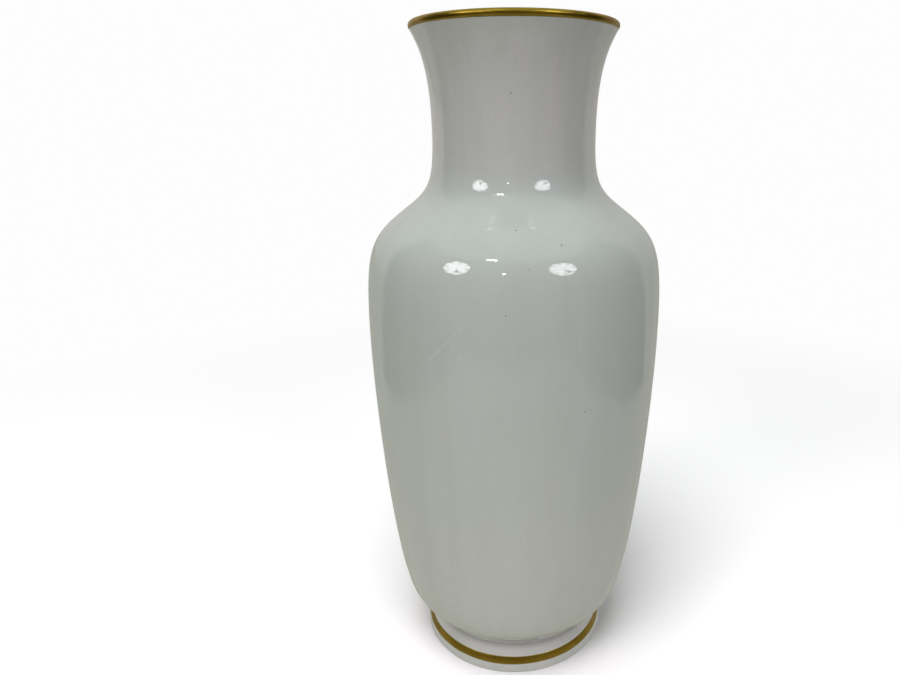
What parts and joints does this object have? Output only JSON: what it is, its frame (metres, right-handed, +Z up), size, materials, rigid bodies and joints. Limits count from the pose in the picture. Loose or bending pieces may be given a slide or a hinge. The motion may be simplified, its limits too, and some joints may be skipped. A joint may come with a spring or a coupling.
{
  "type": "porcelain vase",
  "caption": "Tall white porcelain vase with a flared neck, a long shouldered belly, a raised foot ring and gilt lines at rim and foot.",
  "frame": {"origin": "centre of the circle that the vase stands on", "axes": "+Z up along the axis of the vase, +X to the right, -Y towards the viewer"},
  "size_m": [0.1416, 0.1416, 0.31],
  "materials": {
    "body_porcelain": "gloss",
    "seam_slip": "gloss",
    "foot_porcelain": "gloss",
    "rim_gilt": "satin",
    "foot_gilt": "satin"
  },
  "bodies": {
    "root": {"vase_body": "body_porcelain", "luting_seam": "seam_slip", "foot_ring": "foot_porcelain", "rim_gold_band": "rim_gilt", "foot_gold_band": "foot_gilt"}
  },
  "joints": []
}
